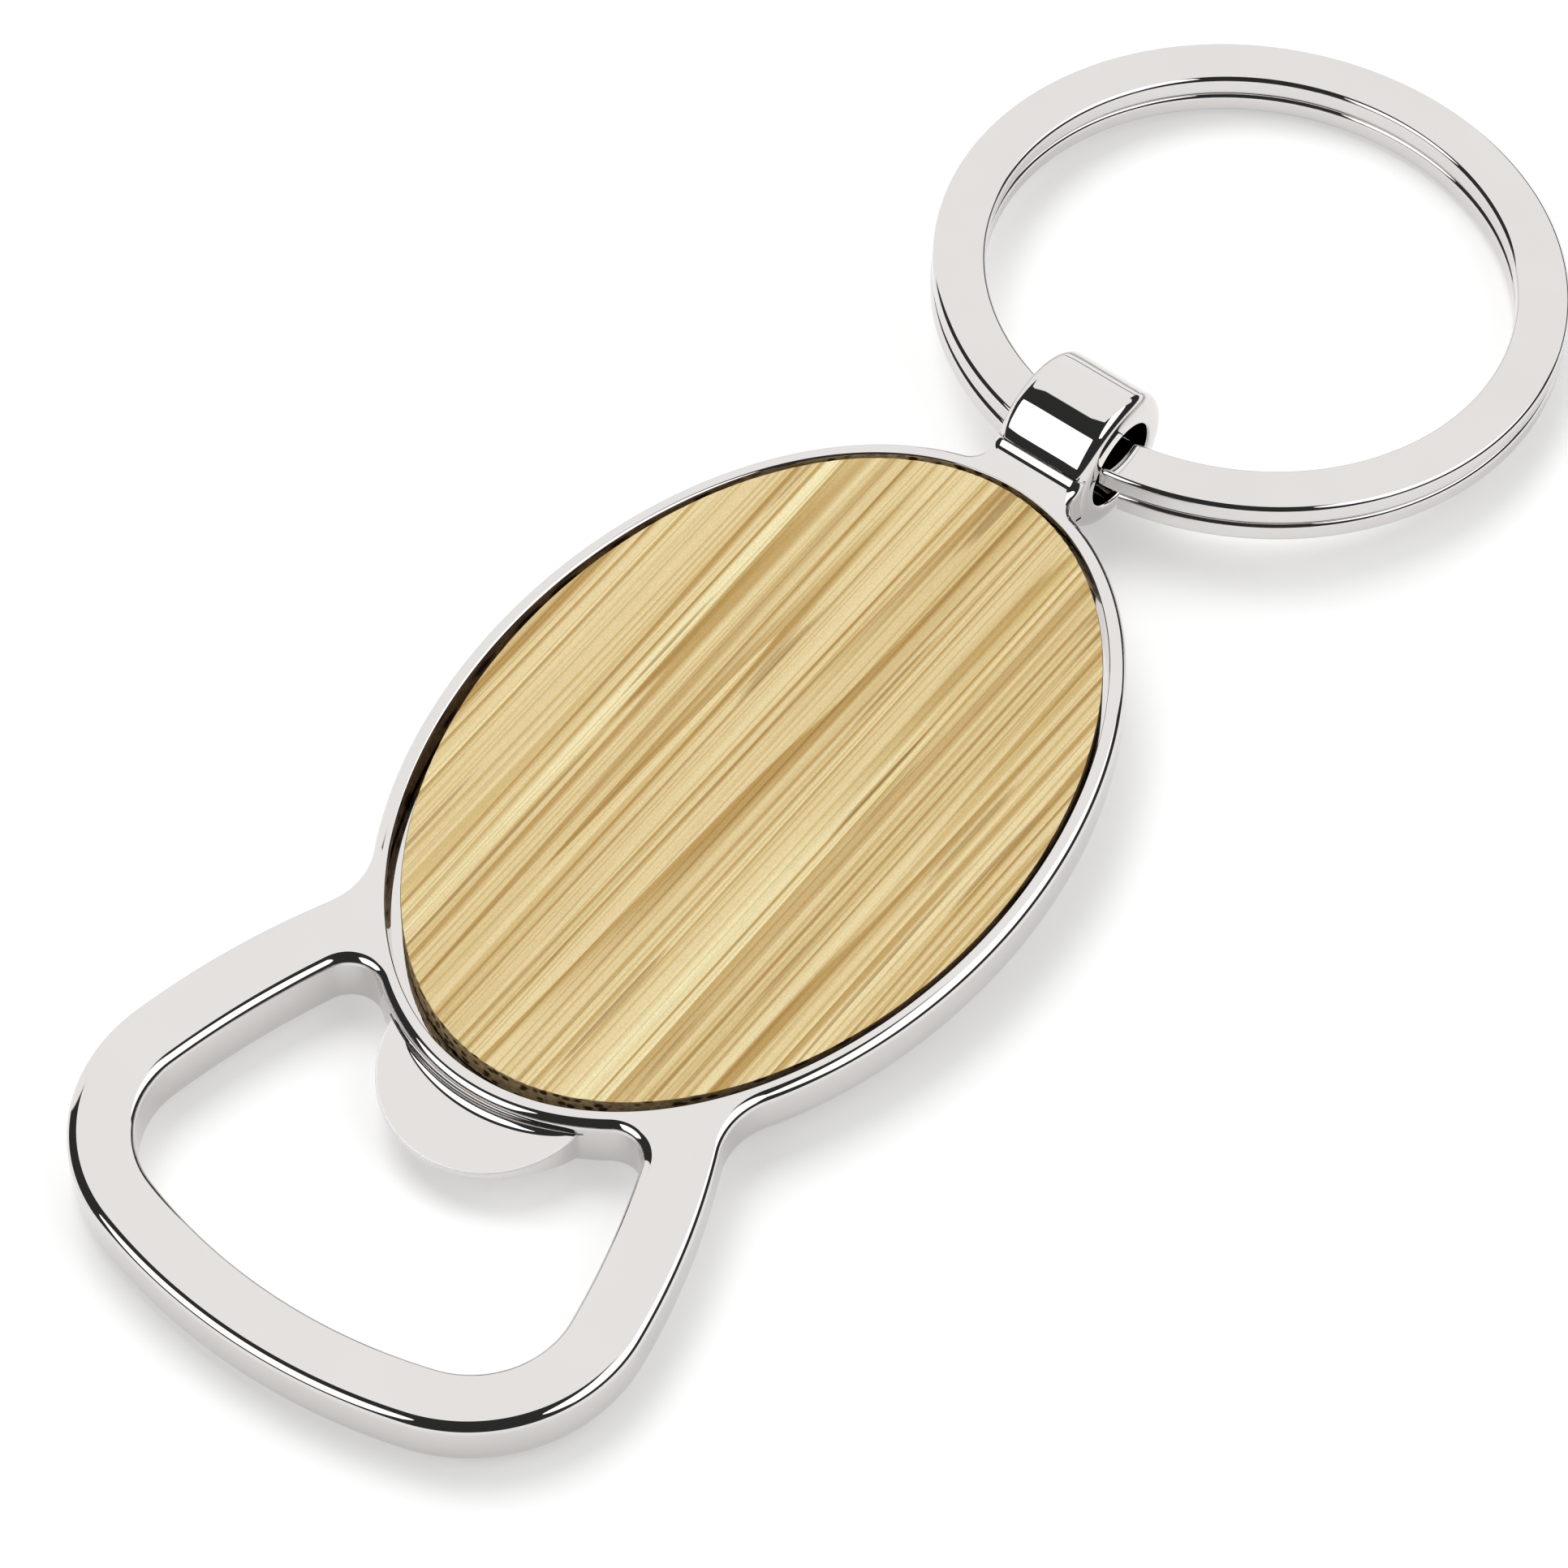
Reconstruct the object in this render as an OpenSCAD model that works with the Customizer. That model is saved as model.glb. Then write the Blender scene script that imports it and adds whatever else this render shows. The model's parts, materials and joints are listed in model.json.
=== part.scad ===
// Keychain bottle opener: a plated cast body with an oval bamboo inlay, an open
// loop with a prying lip at one end, and an eyelet that carries a split ring.
// Millimetres. +Z up, +Y towards the split ring, origin at the centre of the
// oval on the flat back face.

/* [Cast body] */
// Thickness of the plate and the loop
plate_t = 3.2; // [3.0:0.1:3.6]
// Half width of the oval
oval_a = 14.36; // [14.1:0.02:14.6]
// Half length of the oval
oval_b = 20.8; // [20.6:0.1:21.2]

/* [Inlay recess] */
// Half width of the recess
recess_a = 13.59; // [13.4:0.01:13.62]
// Half length of the recess
recess_b = 19.97; // [19.8:0.01:20.0]
// Depth of the recess below the rim
recess_d = 1.2; // [1.0:0.1:1.5]

/* [Bamboo inlay] */
// Half width of the inlay
inlay_a = 13.3; // [13.0:0.05:13.35]
// Half length of the inlay
inlay_b = 19.5; // [19.2:0.05:19.5]
// Height of the inlay above the rim
inlay_proud = 0.1; // [0.1:0.05:0.4]
// Sideways offset of the inlay in its recess
inlay_x = 0.12; // [0.0:0.02:0.22]
// Lengthwise offset of the inlay in its recess
inlay_y = 0.15; // [0.0:0.05:0.2]
// Turn of the inlay in its recess, in degrees
inlay_turn = 0.9; // [0:0.1:1]
// Thickness of the adhesive film under the inlay
film_t = 0.1; // [0.05:0.05:0.2]

/* [Loop] */
// Half width of the loop at its widest
loop_w = 14.3; // [14.0:0.1:14.6]
// Distance from the oval's centre to the end of the loop
loop_end = 37; // [36:0.1:38]
// Corner radius of the loop
loop_corner_r = 8.3; // [7:0.1:9]
// Distance from the oval's centre to the loop's corner centres
loop_corner_y = 27.8; // [27:0.1:28.5]
// Radius of the loop's long sides
loop_side_r = 38.3; // [35:0.1:45]
// Fillet between the oval and the loop
loop_fillet_r = 3.6; // [3:0.1:4]

/* [Mouth] */
// Half width of the mouth at its widest
mouth_w = 11.12; // [10.8:0.02:11.3]
// Distance from the oval's centre to the far edge of the mouth
mouth_end = 33.94; // [33.5:0.02:34]
// Lower corner radius of the mouth
mouth_corner_r = 4.67; // [4:0.01:5]
// Distance from the oval's centre to the mouth's corner centres
mouth_corner_y = 28.25; // [28:0.05:28.5]
// Radius of the mouth's long sides
mouth_side_r = 44.7; // [40:0.1:50]
// Upper corner radius of the mouth
mouth_top_r = 1.5; // [1:0.1:2]

/* [Prying lip] */
// Radius of the lip's round tip
lip_r = 5.2; // [5:0.02:5.5]
// Distance from the oval's centre to the lip's tip
lip_reach = 24.06; // [23.8:0.02:24.2]
// Height of the lip's flat upper face above the back
lip_z = 2; // [1.9:0.01:2.1]
// Thickness of the lip at its tip
lip_tip_t = 0.36; // [0.3:0.02:0.5]
// Thickness of the lip half way back, where its lower face turns steeper
lip_bend_t = 0.72; // [0.6:0.02:0.9]
// Distance from the oval's centre to that turn
lip_bend_y = 21.6; // [21:0.1:22]
// Thickness of the lip where it leaves the oval's wall
lip_root_t = 1.5; // [1.3:0.05:1.7]
// Distance from the oval's centre to that root
lip_root_y = 19.7; // [19.5:0.1:20]

/* [Eyelet] */
// Outer radius of the eyelet barrel
eyelet_r = 3.52; // [3.4:0.02:3.7]
// Bore radius of the eyelet barrel
eyelet_bore_r = 2.15; // [2.1:0.01:2.2]
// Length of the eyelet barrel
eyelet_len = 5.12; // [5:0.02:5.4]
// Rounding of the barrel's outer end edges
eyelet_edge_r = 0.3; // [0.1:0.05:0.4]
// Distance from the oval's centre to the barrel's axis
eyelet_y = 24.85; // [24.7:0.05:25]
// Height of the barrel's axis above the back
eyelet_z = 1.8; // [1.6:0.05:2]
// Half width of the neck that carries the barrel
neck_w = 2.45; // [2.2:0.05:2.5]
// Fillet between the neck and the oval
neck_fillet_r = 1.0; // [0.8:0.1:1.2]

/* [Split ring] */
// Outer radius of the split ring
ring_r = 15.0; // [15:0.5:15]
// Radial width of its flat wire
wire_w = 2.5; // [2.4:0.05:2.5]
// Thickness of its flat wire
wire_t = 1.07; // [1:0.01:1.07]
// Air gap between the two turns
turn_gap = 0.05; // [0.03:0.01:0.06]
// Rounding of the wire's corners
wire_edge_r = 0.25; // [0.1:0.05:0.3]
// Sideways place of the ring's centre
ring_x = 0.6; // [0:0.1:0.6]
// Distance from the oval's centre to the ring's centre
ring_y = 37.85; // [37.7:0.05:37.9]
// Height of the ring's centre above the back
ring_z = 0.32; // [0.3:0.02:0.5]
// Downward tilt of the ring away from the body, in degrees
ring_tilt = 6.7; // [6:0.1:7]

/* [Hidden] */
$fn = 96;
clear = 0.5;            // how far a cutter runs past the face it cuts
oval_step = 4;          // degrees between points on an ellipse
arc_step = 6;           // degrees between points on a small arc
side_step = 2;          // degrees between points on a long arc
fuse = 0.6;             // how deep the lip and the neck run into their neighbours
film_inset = 0.4;       // how far the film stays inside the inlay's edge
recess_floor = plate_t - recess_d;
wire_r = ring_r - wire_w / 2;
turn_h = (wire_t + turn_gap) / 2;
wire_start = 11.3;      // degrees round the ring, from the eyelet, of the lower end
wire_end = 709.5;       // degrees round the ring of the upper end, two turns on
ramp_start = 349;       // degrees round the ring where the wire begins to climb
ramp_end = 367;         // degrees round the ring where the wire has climbed
wire_step = 5;          // degrees between sections of the wire

// ---- geometry of outlines: a list of [x, y, normal x, normal y] ----

function unit(v) = v / norm(v);
function dir(a) = [cos(a), sin(a)];

// Point on an ellipse at parameter t, and the outward normal there
function oval_point(a, b, t) = [a * cos(t), b * sin(t)];
function oval_normal(a, b, t) = unit([cos(t) / a, sin(t) / b]);
function oval_row(a, b, t) = concat(oval_point(a, b, t), oval_normal(a, b, t));
function oval_ring(a, b) = [for (t = [0 : oval_step : 359.9]) oval_row(a, b, t)];

// Rows along an arc; side is 1 when the material is inside the arc, -1 when outside
function arc(c, r, a0, a1, step, side = 1) =
    let (n = max(2, ceil(abs(a1 - a0) / step)))
    [for (i = [0 : n]) let (d = dir(a0 + (a1 - a0) * i / n)) concat(c + r * d, side * d)];

// Root of f between lo and hi by halving
function root(f, lo, hi, n = 30) =
    let (mid = (lo + hi) / 2)
    n == 0 ? mid : (f(lo) * f(mid) <= 0 ? root(f, lo, mid, n - 1) : root(f, mid, hi, n - 1));

function angle_of(v) = atan2(v[1], v[0]);

// Centre of a fillet of radius r that stands outside the oval at parameter t
function fillet_centre(t, r) = oval_point(oval_a, oval_b, t) + r * oval_normal(oval_a, oval_b, t);

function mirrored(rows) =
    [for (i = [len(rows) - 1 : -1 : 0]) [-rows[i][0], rows[i][1], -rows[i][2], rows[i][3]]];

// Radius of the end arc that is tangent to a corner arc and reaches y = -reach
function end_radius(corner, r, reach) =
    let (h = reach + corner[1])
    (corner[0] * corner[0] + h * h - r * r) / (2 * (h - r));

// Centre of a long side arc that meets the corner arc at the given direction
function side_centre(corner, corner_r, side_r, a) = corner - (side_r - corner_r) * dir(a);

// ---- outer outline, right half, from the neck down to the loop's end ----
loop_corner = [loop_w - loop_corner_r, -loop_corner_y];
loop_meet = 10.5;       // direction, in degrees, where side and corner arcs meet
loop_side = side_centre(loop_corner, loop_corner_r, loop_side_r, loop_meet);
loop_bottom_r = end_radius(loop_corner, loop_corner_r, loop_end);
loop_bottom = [0, loop_bottom_r - loop_end];

neck_t = root(function(t) fillet_centre(t, neck_fillet_r)[0] - neck_w - neck_fillet_r, 60, 88);
neck_c = fillet_centre(neck_t, neck_fillet_r);
waist_t = root(function(t) norm(fillet_centre(t, loop_fillet_r) - loop_side)
                           - loop_side_r - loop_fillet_r, -55, -20);
waist_c = fillet_centre(waist_t, loop_fillet_r);
neck_top = eyelet_y - eyelet_bore_r - fuse / 2;

outer_half = concat(
    [[neck_w, neck_top, 1, 0]],
    arc(neck_c, neck_fillet_r, 180, 180 + angle_of(oval_normal(oval_a, oval_b, neck_t)), 15, -1),
    [for (t = [floor(neck_t / oval_step) * oval_step : -oval_step : waist_t + 1])
        oval_row(oval_a, oval_b, t)],
    arc(waist_c, loop_fillet_r, 180 + angle_of(oval_normal(oval_a, oval_b, waist_t)),
        180 + angle_of(waist_c - loop_side), arc_step, -1),
    arc(loop_side, loop_side_r, angle_of(waist_c - loop_side) - 1, loop_meet, side_step),
    arc(loop_corner, loop_corner_r, loop_meet - arc_step, angle_of(loop_corner - loop_bottom),
        arc_step),
    arc(loop_bottom, loop_bottom_r, angle_of(loop_corner - loop_bottom) - side_step, -90 + 1,
        side_step));
outer = concat(outer_half, [[0, -loop_end, 0, -1]], mirrored(outer_half));

// ---- mouth outline, right half, from the middle of the oval's end round ----
mouth_corner = [mouth_w - mouth_corner_r, -mouth_corner_y];
mouth_meet = 11;        // direction, in degrees, where side and corner arcs meet
mouth_side = side_centre(mouth_corner, mouth_corner_r, mouth_side_r, mouth_meet);
mouth_bottom_r = end_radius(mouth_corner, mouth_corner_r, mouth_end);
mouth_bottom = [0, mouth_bottom_r - mouth_end];
mouth_t = root(function(t) norm(fillet_centre(t, mouth_top_r) - mouth_side)
                           - mouth_side_r + mouth_top_r, -80, -50);
mouth_c = fillet_centre(mouth_t, mouth_top_r);

mouth_half = concat(
    [for (t = [-86 : oval_step : mouth_t - 1])
        concat(oval_point(oval_a, oval_b, t), -oval_normal(oval_a, oval_b, t))],
    arc(mouth_c, mouth_top_r, 180 + angle_of(oval_normal(oval_a, oval_b, mouth_t)),
        angle_of(mouth_c - mouth_side), 20),
    arc(mouth_side, mouth_side_r, angle_of(mouth_c - mouth_side) - 1, mouth_meet, side_step),
    arc(mouth_corner, mouth_corner_r, mouth_meet - 9, angle_of(mouth_corner - mouth_bottom), 9),
    arc(mouth_bottom, mouth_bottom_r, angle_of(mouth_corner - mouth_bottom) - side_step, -90 + 1,
        side_step));
mouth = concat([[0, -oval_b, 0, 1]], mouth_half, [[0, -mouth_end, 0, -1]], mirrored(mouth_half));

// ---- solids from outlines ----

module outline(rows) {
    polygon([for (p = rows) [p[0], p[1]]]);
}

module oval_prism(a, b, z0, z1) {
    translate([0, 0, z0])
        linear_extrude(z1 - z0)
            outline(oval_ring(a, b));
}

// ---- parts of the cast body ----

module plate() {
    difference() {
        linear_extrude(plate_t)
            difference() {
                outline(outer);
                outline(mouth);
            }
        oval_prism(recess_a, recess_b, recess_floor, plate_t + clear);
    }
}

// Thin tongue under the oval's end that hooks the edge of a crown cap. Its upper
// face is flat; its lower face rises towards the tip.
module lip() {
    intersection() {
        linear_extrude(plate_t)
            difference() {
                translate([0, lip_r - lip_reach])
                    circle(r = lip_r);
                outline(oval_ring(oval_a - fuse, oval_b - fuse));
            }
        translate([-lip_r, 0, 0])
            rotate([90, 0, 90])
                linear_extrude(2 * lip_r)
                    polygon([[-lip_reach, lip_z], [-lip_reach, lip_z - lip_tip_t],
                             [-lip_bend_y, lip_z - lip_bend_t],
                             [-lip_root_y, lip_z - lip_root_t],
                             [lip_r - lip_root_y, lip_z - lip_root_t],
                             [lip_r - lip_root_y, lip_z]]);
    }
}

// Half section of the eyelet barrel: radius along x, axis along y
module barrel_section() {
    half = eyelet_len / 2;
    r = eyelet_edge_r;
    translate([eyelet_bore_r, -half + r])
        square([eyelet_r - eyelet_bore_r, eyelet_len - 2 * r]);
    translate([eyelet_bore_r + r, -half])
        square([eyelet_r - eyelet_bore_r - 2 * r, eyelet_len]);
    for (s = [-1, 1])
        for (x = [eyelet_bore_r + r, eyelet_r - r])
            translate([x, s * (half - r)])
                circle(r = r, $fn = 24);
}

module eyelet() {
    translate([0, eyelet_y, eyelet_z])
        rotate([0, 90, 0])
            rotate_extrude()
                barrel_section();
}

module opener_body() {
    color("gainsboro") {
        plate();
        lip();
        eyelet();
    }
}

module adhesive_film() {
    color("whitesmoke")
        translate([inlay_x, inlay_y, 0])
            rotate(inlay_turn)
                oval_prism(inlay_a - film_inset, inlay_b - film_inset,
                           recess_floor, recess_floor + film_t);
}

module bamboo_inlay() {
    color("burlywood")
        translate([inlay_x, inlay_y, 0])
            rotate(inlay_turn)
                oval_prism(inlay_a, inlay_b, recess_floor + film_t, plate_t + inlay_proud);
}

// ---- split ring: flat wire wound through two turns, one above the other ----

// Height of the wire's middle at an angle round the ring
function ramp(u) = u <= 0 ? 0 : (u >= 1 ? 1 : u * u * (3 - 2 * u));
function wire_h(a) = turn_h * (2 * ramp((a - ramp_start) / (ramp_end - ramp_start)) - 1);

// Corners of the wire's section as [radius, height], rounded, in order round it
wire_corners = [for (q = [0 : 3]) for (k = [0 : 2])
    let (a = 90 * q + 45 * k,
         sx = (q == 0 || q == 3) ? 1 : -1,
         sy = q < 2 ? 1 : -1)
    [sx * (wire_w / 2 - wire_edge_r) + wire_edge_r * cos(a),
     sy * (wire_t / 2 - wire_edge_r) + wire_edge_r * sin(a)]];

module wire_sweep() {
    turns = [for (a = [wire_start : wire_step : wire_end]) a];
    n = len(wire_corners);
    m = len(turns);
    points = [for (a = turns) for (c = wire_corners)
        [(wire_r + c[0]) * sin(a), -(wire_r + c[0]) * cos(a), wire_h(a) + c[1]]];
    sides = [for (k = [0 : m - 2]) for (i = [0 : n - 1])
        let (a = k * n + i, b = k * n + (i + 1) % n)
        each [[a, b, b + n], [a, b + n, a + n]]];
    first = [for (i = [n - 1 : -1 : 0]) i];
    last = [for (i = [0 : n - 1]) (m - 1) * n + i];
    polyhedron(points, concat([first, last], sides));
}

module split_ring() {
    color("silver")
        translate([ring_x, ring_y, ring_z])
            rotate([-ring_tilt, 0, 0])
                wire_sweep();
}

opener_body();
adhesive_film();
bamboo_inlay();
split_ring();
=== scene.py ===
"""Looks of the keychain bottle opener: a mirror-plated cast body, an oval of bamboo
glued in its tray, the adhesive film under it, and a two-turn split ring.

Lengths in the shape functions are millimetres in the shared frame; they become metres
where a mesh is made. Outlines are rows of x, y and the outward normal's x, y."""

import json
import math

import bpy
import numpy as np
from mathutils import Matrix, Vector, geometry


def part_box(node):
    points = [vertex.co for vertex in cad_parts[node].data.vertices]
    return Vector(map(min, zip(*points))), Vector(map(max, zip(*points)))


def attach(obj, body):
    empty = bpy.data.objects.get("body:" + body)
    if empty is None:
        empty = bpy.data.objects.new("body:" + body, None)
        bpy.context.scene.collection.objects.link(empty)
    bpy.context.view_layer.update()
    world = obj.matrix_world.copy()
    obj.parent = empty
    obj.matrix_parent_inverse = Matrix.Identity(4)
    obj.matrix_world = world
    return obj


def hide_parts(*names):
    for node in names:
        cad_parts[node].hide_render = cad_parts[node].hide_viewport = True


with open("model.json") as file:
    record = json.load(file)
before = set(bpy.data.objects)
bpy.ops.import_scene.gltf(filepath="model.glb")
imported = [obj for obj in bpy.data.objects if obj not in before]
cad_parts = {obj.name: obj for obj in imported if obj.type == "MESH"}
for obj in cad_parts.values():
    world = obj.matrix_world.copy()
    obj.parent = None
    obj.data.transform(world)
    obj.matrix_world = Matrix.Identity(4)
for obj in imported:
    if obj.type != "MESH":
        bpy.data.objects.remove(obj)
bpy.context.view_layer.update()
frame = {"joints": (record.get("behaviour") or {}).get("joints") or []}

MM = 0.001
UP = np.array([0.0, 0.0, 1.0])


# ---------------------------------------------------------------- sizes, from the frame

def box_mm(node):
    low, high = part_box(node)
    return np.array(low) / MM, np.array(high) / MM


BODY_LOW, BODY_HIGH = box_mm("opener_body")
INLAY_LOW, INLAY_HIGH = box_mm("bamboo_inlay")
FILM_LOW, FILM_HIGH = box_mm("adhesive_film")
SWING = next(j for j in frame["joints"] if j["name"] == "ring_swing")
EYE = np.array(SWING["pos_m"]) / MM            # a point on the eyelet's axis

INLAY_PROUD = 0.1                              # height of the bamboo above the rim
PLATE_T = INLAY_HIGH[2] - INLAY_PROUD
RECESS_FLOOR = FILM_LOW[2]
OVAL_A, OVAL_B = BODY_HIGH[0], 20.8            # outer half axes of the oval
RECESS_A, RECESS_B = OVAL_A - 0.77, OVAL_B - 0.83
RIM_BEVEL, RIM_BEVEL_LEFT = 0.05, 0.22         # rounding of the rim's inner edge, right and left
WALL_DRAFT = 0.3                               # how far the left tray wall leans out, foot to rim
EDGE_A, EDGE_B = 0.85, 0.45                    # reach and drop of the soft-shouldered top edge
EDGE_ROUND, EDGE_WIDE = 0.45, 0.5              # plain quarter-round edge, width of the soft one
FULLY_SOFT = 0.06                              # share of the oval beyond it, where edges are soft
UNDER_OUTER, UNDER_MOUTH = 1.15, 0.6           # rounding of the lower edges

# The loop and its hole: half width and end, then the corner's radius and centre, the side's
# radius, and the angle in degrees at which the side meets the corner
LOOP_W, LOOP_END = OVAL_A - 0.06, -BODY_LOW[1]
LOOP_R, LOOP_Y, LOOP_SIDE_R, LOOP_MEET = 8.3, 27.8, 38.3, 10.5
WAIST_R = 3.6                                  # fillet between the oval and the loop
MOUTH_W, MOUTH_END = 11.12, LOOP_END - 3.06
MOUTH_R, MOUTH_Y, MOUTH_SIDE_R, MOUTH_MEET = 4.67, 28.25, 44.7, 11.0
MOUTH_TOP_R = 1.5                              # fillet between the hole's side and the oval

LIP_R, LIP_REACH, LIP_X = 5.2, 24.06, 0.1      # radius, furthest point, sideways shift
LIP_TIP_T, LIP_TIP_Z, LIP_SLOPE = 0.36, 1.74, 0.15   # thickness and top at the tip, top's slope
LIP_BEND_Y, LIP_ROOT_SLOPE = -21.6, 0.35       # where the lower face turns down, and how steeply
LIP_EDGE = 0.09                                # rounding of the lip's edges
LIP_BEND_WIDE = 0.6                            # length over which the lower face turns down
LIP_SINK = 0.42                                # how far the lip's root runs into the plate
LIP_ROOT_R, LIP_ROOT_X, LIP_ROOT_W = 0.5, 0.6, 4.4   # hollow fillet: radius, middle, half width
LIP_ROOT_SINK = 0.05                           # how deep the fillet's hidden edge lies
LIP_SIDE_R = 0.4                               # fillet where the lip's side meets the wall

EYE_R = BODY_HIGH[2] - EYE[2]
EYE_BORE, EYE_HALF, BORE_EDGE = 2.15, 2.56, 0.17   # bore radius, half length, bore's rounding
EYE_END_LONG, EYE_END_DEEP = 0.62, 0.95        # axial and radial size of the barrel's end rounding
EYE_CROWN_X, EYE_CROWN = 1.3, 0.06             # where the crown starts, its slope at the end
NECK_W, NECK_R, NECK_ROOT_R = 2.45, 1.0, 0.7   # half width, fillets to the oval and the barrel
NECK_SINK = 0.3                                # how far the neck runs into the barrel's wall
ROOT_SINK_Y, ROOT_SINK_Z = 0.15, 0.45          # how deep the neck fillets' hidden faces lie

RING_R, RING_TILT = 15.0, math.radians(6.7)
RING_C = np.array([0.6, 37.85, 0.32])
WIRE_W, WIRE_T, TURN_GAP, WIRE_EDGE = 2.5, 1.07, 0.05, 0.25   # the last is its edges' rounding
# Degrees round the coil: the wire's two ends, and the ramp from one turn to the next
WIRE_START, WIRE_END, RAMP_START, RAMP_END = 11.3, 709.5, 349.0, 367.0

INLAY_A, INLAY_B, INLAY_TURN = 13.3, 19.5, math.radians(0.9)
INLAY_C = (INLAY_LOW + INLAY_HIGH) / 2
FILM_INSET = 0.4                               # how far the film stays inside the bamboo's edge
NICK_ENDS, NICK_SIDES = 0.018, 0.004           # unevenness of the sawn edge: its ends, all round

# The body lies on its eyelet and on the end of its loop, so the table slopes in this frame
TABLE_SLOPE = (EYE[2] - EYE_R) / (EYE[1] + LOOP_END)


# ---------------------------------------------------------------- outlines

def unit(v):
    v = np.asarray(v, float)
    return v / np.linalg.norm(v, axis=-1, keepdims=True)


def direction(degrees):
    a = math.radians(degrees)
    return np.array([math.cos(a), math.sin(a)])


def angle_of(v):
    return math.degrees(math.atan2(v[1], v[0]))


def oval_rows(a, b, degrees):
    t = np.radians(np.asarray(degrees, float))
    point = np.stack([a * np.cos(t), b * np.sin(t)], -1)
    normal = unit(np.stack([np.cos(t) / a, np.sin(t) / b], -1))
    return np.concatenate([point, normal], -1)


def arc_rows(centre, radius, start, end, step, side=1):
    """Rows along an arc. side is 1 when the normal points away from the centre."""
    n = max(2, math.ceil(abs(end - start) / step))
    d = np.array([direction(start + (end - start) * i / n) for i in range(n + 1)])
    return np.concatenate([centre + radius * d, side * d], -1)


def root(f, low, high, rounds=50):
    for _ in range(rounds):
        middle = (low + high) / 2
        if f(low) * f(middle) <= 0:
            high = middle
        else:
            low = middle
    return (low + high) / 2


def beside_oval(t, r):
    """Centre of a circle of radius r that touches the oval from outside at parameter t."""
    row = oval_rows(OVAL_A, OVAL_B, [t])[0]
    return row[:2] + r * row[2:]


def oval_normal_angle(t):
    return angle_of(oval_rows(OVAL_A, OVAL_B, [t])[0, 2:])


def end_radius(corner, r, reach):
    """Radius of the end arc that is tangent to a corner arc and reaches y = -reach."""
    h = reach + corner[1]
    return (corner[0] ** 2 + h * h - r * r) / (2 * (h - r))


def mirrored(rows):
    return rows[::-1] * np.array([-1, 1, -1, 1])


def without_repeats(rows):
    step = np.linalg.norm(rows[:, :2] - np.roll(rows[:, :2], 1, axis=0), axis=1)
    return rows[step > 1e-4]


def outer_rows():
    corner = np.array([LOOP_W - LOOP_R, -LOOP_Y])
    side = corner - (LOOP_SIDE_R - LOOP_R) * direction(LOOP_MEET)
    end_r = end_radius(corner, LOOP_R, LOOP_END)
    end_c = np.array([0, end_r - LOOP_END])
    neck_t = root(lambda t: beside_oval(t, NECK_R)[0] - NECK_W - NECK_R, 60, 88)
    neck_c = beside_oval(neck_t, NECK_R)
    waist_t = root(lambda t: np.linalg.norm(beside_oval(t, WAIST_R) - side)
                   - LOOP_SIDE_R - WAIST_R, -55, -20)
    waist_c = beside_oval(waist_t, WAIST_R)
    waist_end = angle_of(waist_c - side)
    corner_end = angle_of(corner - end_c)
    neck_top = EYE[1] - EYE_BORE - NECK_SINK
    half = np.concatenate([
        [[NECK_W, neck_top, 1, 0]],
        arc_rows(neck_c, NECK_R, 180, 180 + oval_normal_angle(neck_t), 3, -1),
        oval_rows(OVAL_A, OVAL_B, np.linspace(neck_t, waist_t, 160)),
        arc_rows(waist_c, WAIST_R, 180 + oval_normal_angle(waist_t), 180 + waist_end, 1.5, -1),
        arc_rows(side, LOOP_SIDE_R, waist_end, LOOP_MEET, 0.4),
        arc_rows(corner, LOOP_R, LOOP_MEET, corner_end, 1.5),
        arc_rows(end_c, end_r, corner_end, -90, 0.5)])
    return without_repeats(np.concatenate([half, mirrored(half)]))


def mouth_rows():
    """The hole's outline; its normals point into the hole, away from the metal."""
    corner = np.array([MOUTH_W - MOUTH_R, -MOUTH_Y])
    side = corner - (MOUTH_SIDE_R - MOUTH_R) * direction(MOUTH_MEET)
    end_r = end_radius(corner, MOUTH_R, MOUTH_END)
    end_c = np.array([0, end_r - MOUTH_END])
    top_t = root(lambda t: np.linalg.norm(beside_oval(t, MOUTH_TOP_R) - side)
                 - MOUTH_SIDE_R + MOUTH_TOP_R, -80, -50)
    top_c = beside_oval(top_t, MOUTH_TOP_R)
    top_end = angle_of(top_c - side)
    corner_end = angle_of(corner - end_c)
    half = np.concatenate([
        oval_rows(OVAL_A, OVAL_B, np.linspace(-90, top_t, 60)),
        arc_rows(top_c, MOUTH_TOP_R, 180 + oval_normal_angle(top_t), top_end, 4, -1),
        arc_rows(side, MOUTH_SIDE_R, top_end, MOUTH_MEET, 0.4, -1),
        arc_rows(corner, MOUTH_R, MOUTH_MEET, corner_end, 2, -1),
        arc_rows(end_c, end_r, corner_end, -90, 0.6, -1)])
    return without_repeats(np.concatenate([half, mirrored(half)]))


# ---------------------------------------------------------------- meshes with true normals

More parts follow.
